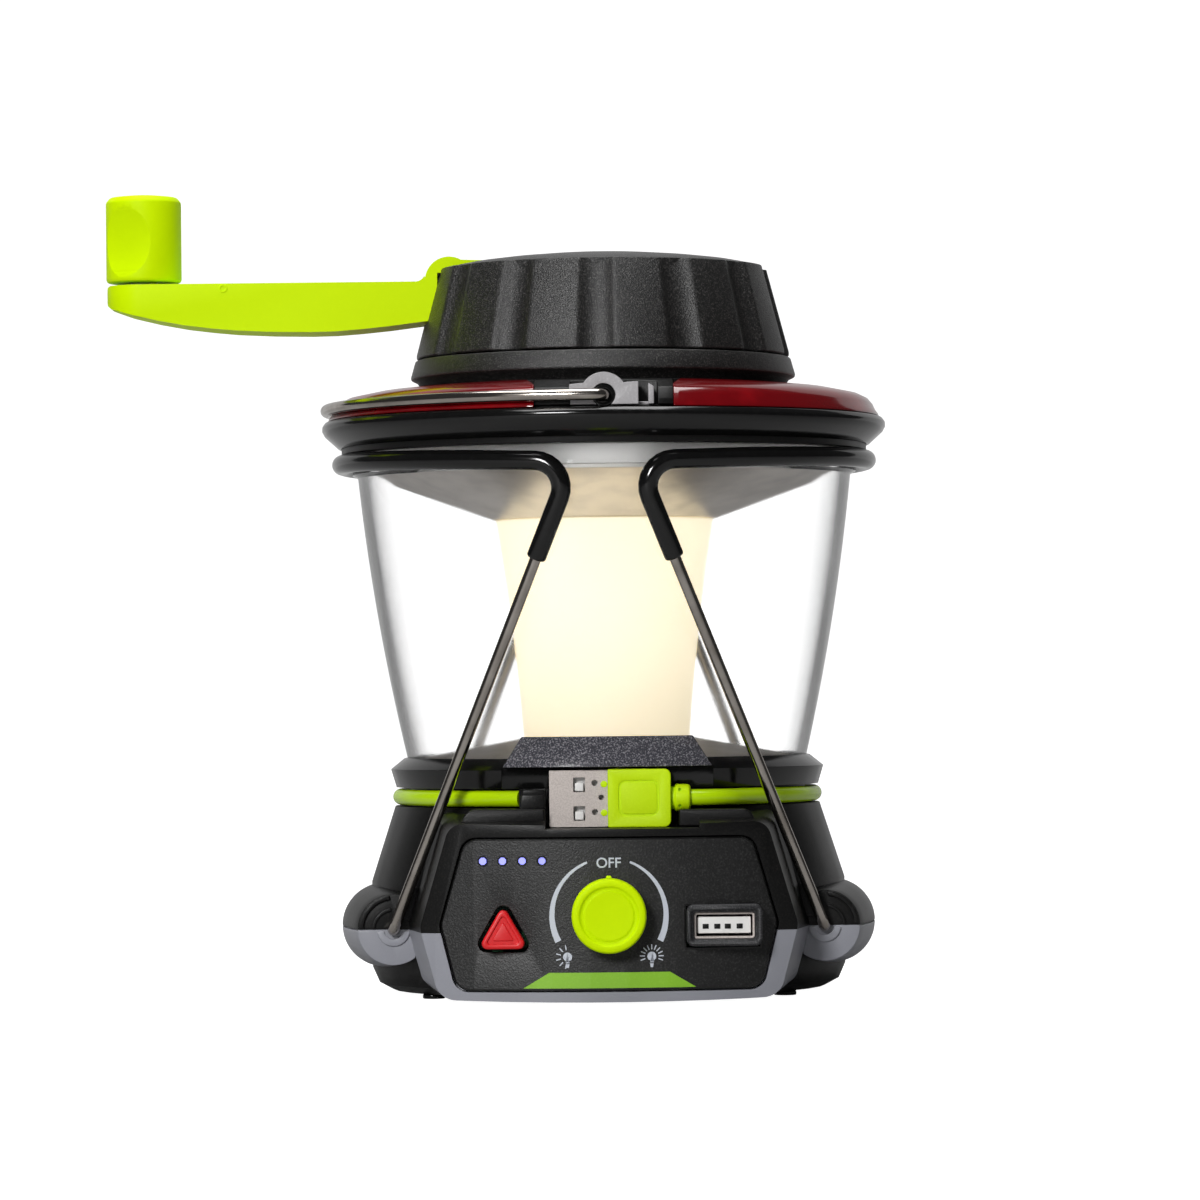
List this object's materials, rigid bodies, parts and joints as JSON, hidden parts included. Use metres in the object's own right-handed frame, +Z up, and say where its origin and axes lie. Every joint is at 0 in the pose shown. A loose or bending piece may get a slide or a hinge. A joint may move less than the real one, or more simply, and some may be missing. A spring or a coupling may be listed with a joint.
{
  "type": "hand crank lantern",
  "caption": "Camping lantern with a folding hand crank on top, round lens globe, red warning lenses, wire legs and bail, control panel and a stowed charging cable.",
  "frame": {"origin": "on the lamp's axis, in the plane the feet stand on", "axes": "+Z up along the lamp's axis, -Y out of the control panel, +X to the right seen from the panel side; at rest the crank arm points to -X"},
  "size_m": [0.1713, 0.126, 0.1763],
  "materials": {
    "black_plastic": "satin",
    "grey_rubber": "soft matte",
    "black_rubber": "soft gloss",
    "bracket_grey": "satin",
    "level_light": "lit",
    "panel_plastic": "fine satin",
    "clear_lens": "clear",
    "frosted_lens": "frosted",
    "reflector": "silvered",
    "red_lens": "clear",
    "red_rubber": "soft",
    "lime_plastic": "satin",
    "lime_rubber": "soft",
    "steel_wire": "polished",
    "plug_metal": "bright",
    "white_plastic": "smooth",
    "smoky_plastic": "smoky",
    "circuit_board": "coated",
    "battery_wrap": "shrink sleeve",
    "shaft_steel": "ground",
    "magnet_grey": "sintered",
    "gear_nylon": "moulded",
    "light_white": "lit"
  },
  "bodies": {
    "housing": {"base_shell": "black_plastic", "base_bumper": "grey_rubber", "rubber_feet": "black_rubber", "globe_seat": "black_plastic", "lens_globe": "clear_lens", "diffuser": "frosted_lens", "lower_reflector": "reflector", "upper_reflector": "reflector", "light_column": "reflector", "lower_light_board": "circuit_board", "upper_light_board": "circuit_board", "light_chips": "light_white", "ramp_plate": "smoky_plastic", "front_panel": "panel_plastic", "level_lights": "level_light", "selector_switch": "black_plastic", "button_switch": "black_plastic", "port_frame": "grey_rubber", "socket_shell": "plug_metal", "socket_insulator": "white_plastic", "main_board": "circuit_board", "control_board": "circuit_board", "battery_cells": "battery_wrap", "battery_cradle": "black_plastic", "charging_cable": "lime_rubber", "plug_shell": "plug_metal", "plug_tongue": "white_plastic", "plug_grip": "lime_rubber", "top_housing": "black_plastic", "beacon_lens_left": "red_lens", "beacon_lens_right": "red_lens", "trim_ring": "black_plastic", "top_collar": "black_plastic", "bail_bracket_front": "bracket_grey", "bail_bracket_rear": "bracket_grey", "idler_post": "shaft_steel", "stator": "magnet_grey"},
    "crank_head": {"crank_cap": "black_plastic", "crank_shaft": "shaft_steel", "drive_gear": "gear_nylon", "hinge_pin": "shaft_steel"},
    "folding_arm": {"crank_arm": "lime_plastic", "knob_post": "shaft_steel"},
    "grip_knob": {"crank_knob": "lime_plastic"},
    "idler": {"idler_gear": "gear_nylon"},
    "rotor": {"rotor_pinion": "gear_nylon", "rotor_magnet": "magnet_grey"},
    "bail": {"bail_wire": "steel_wire"},
    "left_leg": {"leg_wire_left": "steel_wire", "leg_sleeve_left": "black_rubber"},
    "right_leg": {"leg_wire_right": "steel_wire", "leg_sleeve_right": "black_rubber"},
    "selector": {"selector_dial": "lime_plastic", "selector_shaft": "shaft_steel"},
    "button": {"beacon_button": "red_rubber"}
  },
  "joints": [
    {"name": "crank_spin", "type": "hinge", "parent": "housing", "child": "crank_head", "pos_m": [0, 0, 0.15], "axis": [0, 0, 1], "continuous": true},
    {"name": "crank_arm_fold", "type": "hinge", "parent": "crank_head", "child": "folding_arm", "pos_m": [-0.0254, 0, 0.1576], "axis": [0, 1, 0], "range_deg": [0, 180]},
    {"name": "crank_knob_spin", "type": "hinge", "parent": "folding_arm", "child": "grip_knob", "pos_m": [-0.1012, 0, 0.157], "axis": [0, 0, 1], "continuous": true},
    {"name": "idler_spin", "type": "hinge", "parent": "housing", "child": "idler", "pos_m": [0.01879, 0.00684, 0.126], "axis": [0, 0, 1], "continuous": true},
    {"name": "rotor_spin", "type": "hinge", "parent": "housing", "child": "rotor", "pos_m": [0.00241, 0.01831, 0.123], "axis": [0, 0, 1], "continuous": true},
    {"name": "bail_fold", "type": "hinge", "parent": "housing", "child": "bail", "pos_m": [0, 0, 0.1282], "axis": [0, 1, 0], "range_deg": [0, 90]},
    {"name": "left_leg_fold", "type": "hinge", "parent": "housing", "child": "left_leg", "pos_m": [-0.0463, 0, 0.0152], "axis": [0, -1, 0], "range_deg": [0, 150]},
    {"name": "right_leg_fold", "type": "hinge", "parent": "housing", "child": "right_leg", "pos_m": [0.0463, 0, 0.0152], "axis": [0, 1, 0], "range_deg": [0, 150]},
    {"name": "selector_turn", "type": "hinge", "parent": "housing", "child": "selector", "pos_m": [0, -0.06, 0.0189], "axis": [0, 1, 0], "range_deg": [-120, 120]},
    {"name": "beacon_button_press", "type": "slide", "parent": "housing", "child": "button", "axis": [0, 1, 0], "range_m": [0, 0.0012], "stiffness_N_per_m": 800, "springref_m": -0.001}
  ],
  "couplings": [
    {"joint": "idler_spin", "follows": "crank_spin", "ratio": -3},
    {"joint": "rotor_spin", "follows": "crank_spin", "ratio": 9},
    {"joint": "bail_fold", "follows": "crank_arm_fold", "ratio": 0.5}
  ]
}
